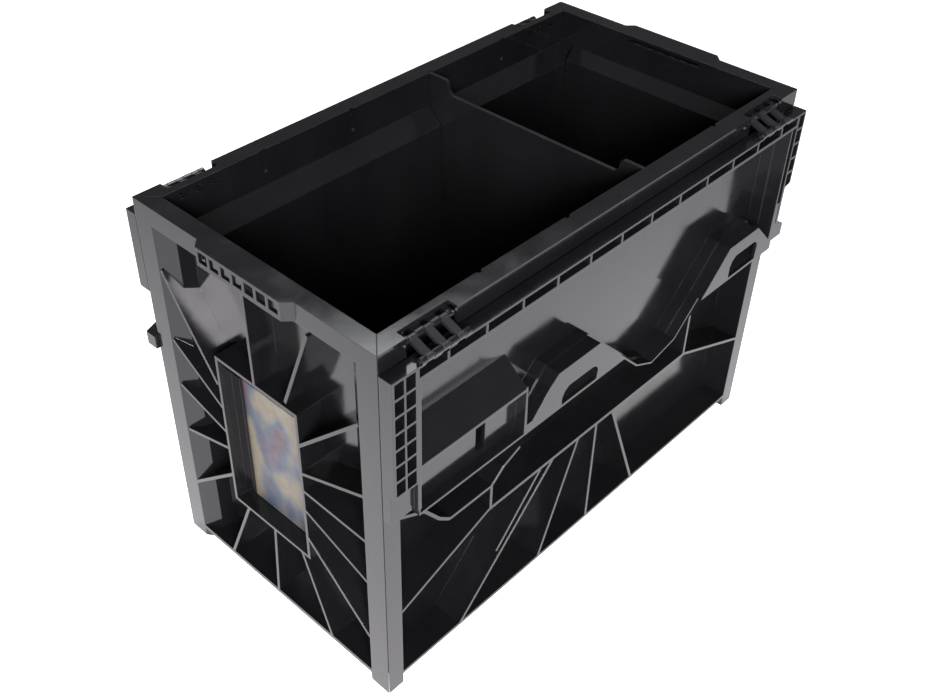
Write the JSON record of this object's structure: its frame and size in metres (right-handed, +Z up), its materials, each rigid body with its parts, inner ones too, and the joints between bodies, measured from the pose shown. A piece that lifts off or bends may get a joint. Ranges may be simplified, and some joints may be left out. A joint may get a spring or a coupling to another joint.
{
  "type": "attached lid tote",
  "caption": "Ribbed knock-down storage box with two interleaving lids hung on link hinges, a lift-out divider and end card pockets.",
  "frame": {"origin": "centre of the bounding box on the surface the box stands on, lids hanging open", "axes": "+X along the length, from the end nearer the camera to the far end; +Y across the width, away from the camera; +Z up"},
  "size_m": [0.455, 0.2582, 0.318],
  "materials": {
    "body_plastic": "satin black polypropylene",
    "lid_plastic": "satin black polypropylene",
    "strap_plastic": "black plastic worn lighter at the hinge straps",
    "pin_plastic": "dark pin stock",
    "card_stock": "plain coated card"
  },
  "bodies": {
    "tote_body": {"side_panel_front": "body_plastic", "side_panel_back": "body_plastic", "end_panel_left": "body_plastic", "end_panel_right": "body_plastic", "floor_panel": "body_plastic", "box_pin_front_left": "pin_plastic", "box_pin_front_right": "pin_plastic", "box_pin_back_left": "pin_plastic", "box_pin_back_right": "pin_plastic"},
    "hinge_links_front": {"hinge_strap_front_left_1": "strap_plastic", "hinge_strap_front_left_2": "strap_plastic", "hinge_strap_front_left_3": "strap_plastic", "hinge_strap_front_right_1": "strap_plastic", "hinge_strap_front_right_2": "strap_plastic", "hinge_strap_front_right_3": "strap_plastic"},
    "lid_front": {"lid_front": "lid_plastic", "lid_pin_front_left": "pin_plastic", "lid_pin_front_right": "pin_plastic"},
    "hinge_links_back": {"hinge_strap_back_left_1": "strap_plastic", "hinge_strap_back_left_2": "strap_plastic", "hinge_strap_back_left_3": "strap_plastic", "hinge_strap_back_right_1": "strap_plastic", "hinge_strap_back_right_2": "strap_plastic", "hinge_strap_back_right_3": "strap_plastic"},
    "lid_back": {"lid_back": "lid_plastic", "lid_pin_back_left": "pin_plastic", "lid_pin_back_right": "pin_plastic"},
    "label_card_left": {"label_card_left": "card_stock"},
    "label_card_right": {"label_card_right": "card_stock"},
    "divider": {"divider": "body_plastic"}
  },
  "joints": [
    {"name": "hinge_links_front_swing", "type": "hinge", "parent": "tote_body", "child": "hinge_links_front", "pos_m": [0, -0.1124, 0.3115], "axis": [-1, 0, 0], "range_deg": [0, 53.3]},
    {"name": "lid_front_swing", "type": "hinge", "parent": "hinge_links_front", "child": "lid_front", "pos_m": [0, -0.1265, 0.306], "axis": [-1, 0, 0], "range_deg": [0, 216.8]},
    {"name": "hinge_links_back_swing", "type": "hinge", "parent": "tote_body", "child": "hinge_links_back", "pos_m": [0, 0.1124, 0.3115], "axis": [1, 0, 0], "range_deg": [0, 53.3]},
    {"name": "lid_back_swing", "type": "hinge", "parent": "hinge_links_back", "child": "lid_back", "pos_m": [0, 0.1265, 0.306], "axis": [1, 0, 0], "range_deg": [0, 216.8]},
    {"name": "divider_lift", "type": "slide", "parent": "tote_body", "child": "divider", "axis": [0, 0, -1], "range_m": [-0.3, 0]},
    {"name": "label_card_left_lift", "type": "slide", "parent": "tote_body", "child": "label_card_left", "axis": [0, 0, 1], "range_m": [0, 0.018]},
    {"name": "label_card_right_lift", "type": "slide", "parent": "tote_body", "child": "label_card_right", "axis": [0, 0, 1], "range_m": [0, 0.018]}
  ],
  "couplings": [
    {"joint": "hinge_links_front_swing", "follows": "lid_front_swing", "ratio": 0.24539},
    {"joint": "hinge_links_back_swing", "follows": "lid_back_swing", "ratio": 0.24539}
  ]
}
